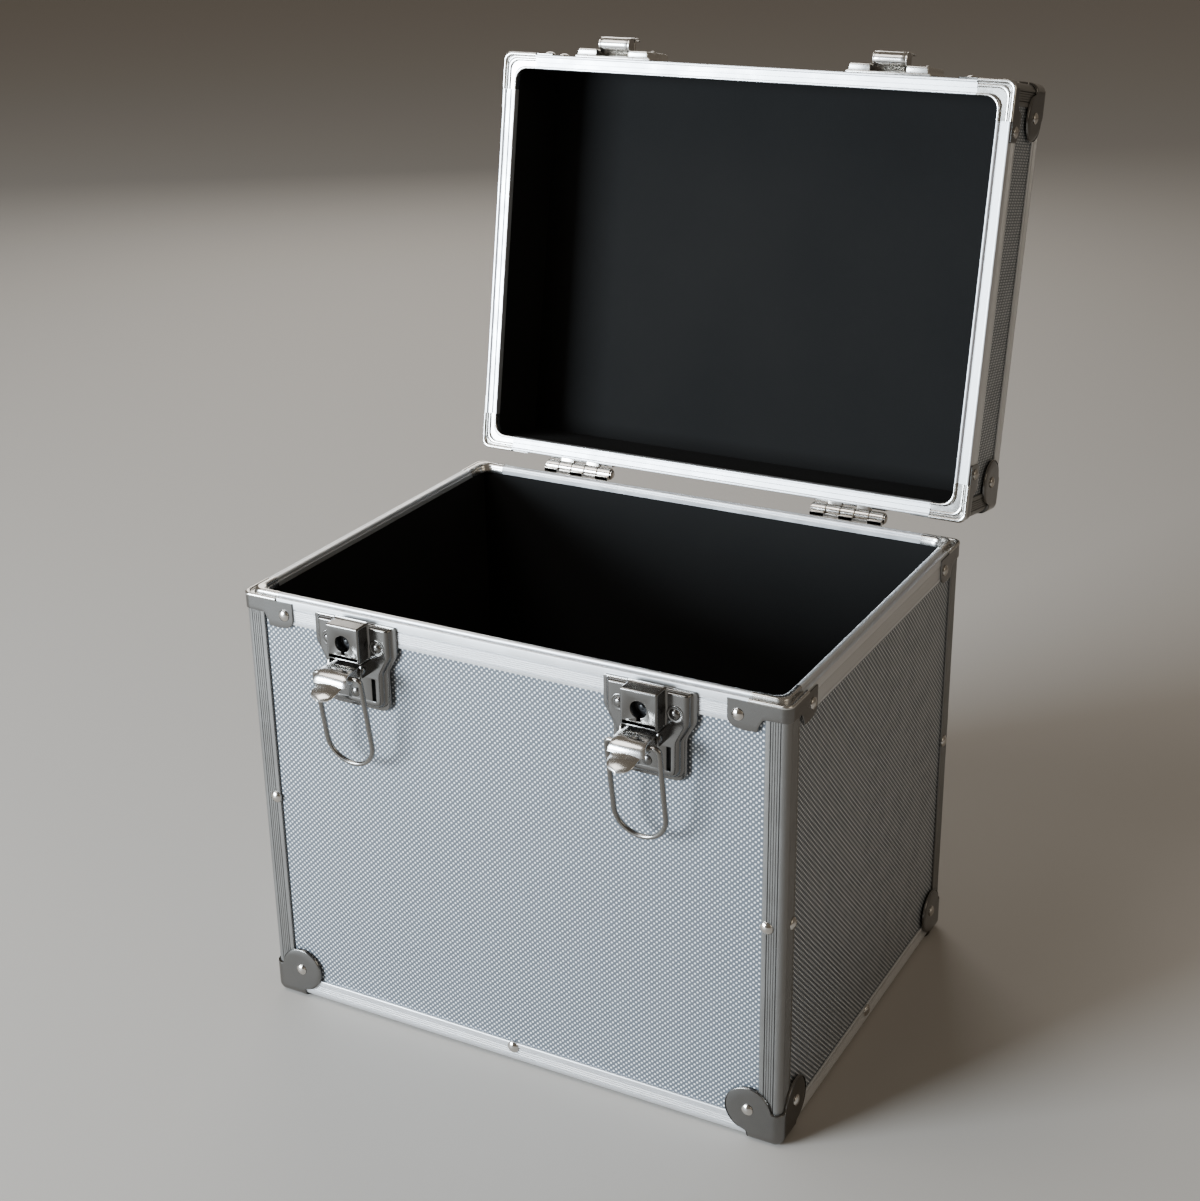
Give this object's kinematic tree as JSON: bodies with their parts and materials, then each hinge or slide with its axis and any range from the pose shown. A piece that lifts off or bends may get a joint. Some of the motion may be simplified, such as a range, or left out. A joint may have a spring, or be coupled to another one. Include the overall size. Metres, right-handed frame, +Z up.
{
  "type": "record carrying case",
  "caption": "Rectangular carrying case with a hinged lid, aluminium edge and rim extrusions, stamped corners, draw latches with key locks and a folding handle.",
  "frame": {"origin": "centre of the base panel's underside; the floor is 3 mm lower, under the ball corners", "axes": "+Z up, +X to the case's right seen from the front, -Y to the front, where the latches are"},
  "size_m": [0.3626, 0.4326, 0.571],
  "materials": {
    "embossed_skin": "fibreboard faced with a silver skin, embossed with small raised dots",
    "bare_board": "fibreboard, black underneath",
    "satin_aluminium": "satin, finely grooved extrusion",
    "bright_chrome": "pressed steel, polished chrome plate",
    "bright_steel": "bright nickel plate",
    "black_lining": "matt black",
    "black_plastic": "satin black moulding"
  },
  "bodies": {
    "case_body": {"front_panel": "embossed_skin", "rear_panel": "embossed_skin", "left_panel": "embossed_skin", "right_panel": "embossed_skin", "base_panel": "bare_board", "body_lining": "black_lining", "base_edge_frame": "satin_aluminium", "corner_post_front_left": "satin_aluminium", "corner_post_front_right": "satin_aluminium", "corner_post_rear_left": "satin_aluminium", "corner_post_rear_right": "satin_aluminium", "body_rim_front": "satin_aluminium", "body_rim_rear": "satin_aluminium", "body_rim_left": "satin_aluminium", "body_rim_right": "satin_aluminium", "body_rim_corner_front_left": "bright_chrome", "body_rim_corner_front_right": "bright_chrome", "body_rim_corner_rear_left": "bright_chrome", "body_rim_corner_rear_right": "bright_chrome", "ball_corner_front_left": "bright_chrome", "ball_corner_front_right": "bright_chrome", "ball_corner_rear_left": "bright_chrome", "ball_corner_rear_right": "bright_chrome", "latch_plate_left": "bright_chrome", "latch_plate_right": "bright_chrome", "hinge_body_leaf_left": "bright_steel", "hinge_body_leaf_right": "bright_steel", "hinge_pin_left": "bright_steel", "hinge_pin_right": "bright_steel"},
    "lid": {"lid_top_panel": "embossed_skin", "lid_front_wall": "embossed_skin", "lid_rear_wall": "embossed_skin", "lid_left_wall": "embossed_skin", "lid_right_wall": "embossed_skin", "lid_lining": "black_lining", "lid_edge_frame": "satin_aluminium", "lid_rim_front": "satin_aluminium", "lid_rim_rear": "satin_aluminium", "lid_rim_left": "satin_aluminium", "lid_rim_right": "satin_aluminium", "lid_rim_corner_front_left": "bright_chrome", "lid_rim_corner_front_right": "bright_chrome", "lid_rim_corner_rear_left": "bright_chrome", "lid_rim_corner_rear_right": "bright_chrome", "lid_ball_corner_front_left": "bright_chrome", "lid_ball_corner_front_right": "bright_chrome", "lid_ball_corner_rear_left": "bright_chrome", "lid_ball_corner_rear_right": "bright_chrome", "keeper_left": "bright_chrome", "keeper_right": "bright_chrome", "hinge_lid_leaf_left": "bright_steel", "hinge_lid_leaf_right": "bright_steel", "handle_base": "bright_chrome"},
    "latch_lever_left": {"latch_lever_left": "bright_chrome"},
    "latch_bail_left": {"latch_bail_left": "bright_steel"},
    "lock_bolt_left": {"lock_bolt_left": "bright_steel"},
    "latch_lever_right": {"latch_lever_right": "bright_chrome"},
    "latch_bail_right": {"latch_bail_right": "bright_steel"},
    "lock_bolt_right": {"lock_bolt_right": "bright_steel"},
    "handle": {"handle_grip": "black_plastic"}
  },
  "joints": [
    {"name": "lid_hinge", "type": "hinge", "parent": "case_body", "child": "lid", "pos_m": [0, 0.1415, 0.2828], "axis": [1, 0, 0], "range_deg": [0, 100.4]},
    {"name": "latch_lever_left", "type": "hinge", "parent": "case_body", "child": "latch_lever_left", "pos_m": [-0.0965, -0.147, 0.2511], "axis": [1, 0, 0], "range_deg": [0, 82]},
    {"name": "latch_bail_left", "type": "hinge", "parent": "latch_lever_left", "child": "latch_bail_left", "pos_m": [-0.0965, -0.157, 0.2496], "axis": [1, 0, 0], "range_deg": [-273.7, 0]},
    {"name": "lock_bolt_left", "type": "slide", "parent": "case_body", "child": "lock_bolt_left", "axis": [0, 0, -1], "range_m": [0, 0.005]},
    {"name": "latch_lever_right", "type": "hinge", "parent": "case_body", "child": "latch_lever_right", "pos_m": [0.0965, -0.147, 0.2511], "axis": [1, 0, 0], "range_deg": [0, 82]},
    {"name": "latch_bail_right", "type": "hinge", "parent": "latch_lever_right", "child": "latch_bail_right", "pos_m": [0.0965, -0.157, 0.2496], "axis": [1, 0, 0], "range_deg": [-273.7, 0]},
    {"name": "lock_bolt_right", "type": "slide", "parent": "case_body", "child": "lock_bolt_right", "axis": [0, 0, -1], "range_m": [0, 0.005]},
    {"name": "handle_swing", "type": "hinge", "parent": "lid", "child": "handle", "pos_m": [0, 0.23816, 0.40892], "axis": [1, 0, 0], "range_deg": [0, 180]}
  ],
  "couplings": [
    {"joint": "latch_bail_left", "follows": "latch_lever_left", "ratio": -3.3378},
    {"joint": "latch_bail_right", "follows": "latch_lever_right", "ratio": -3.3378}
  ]
}
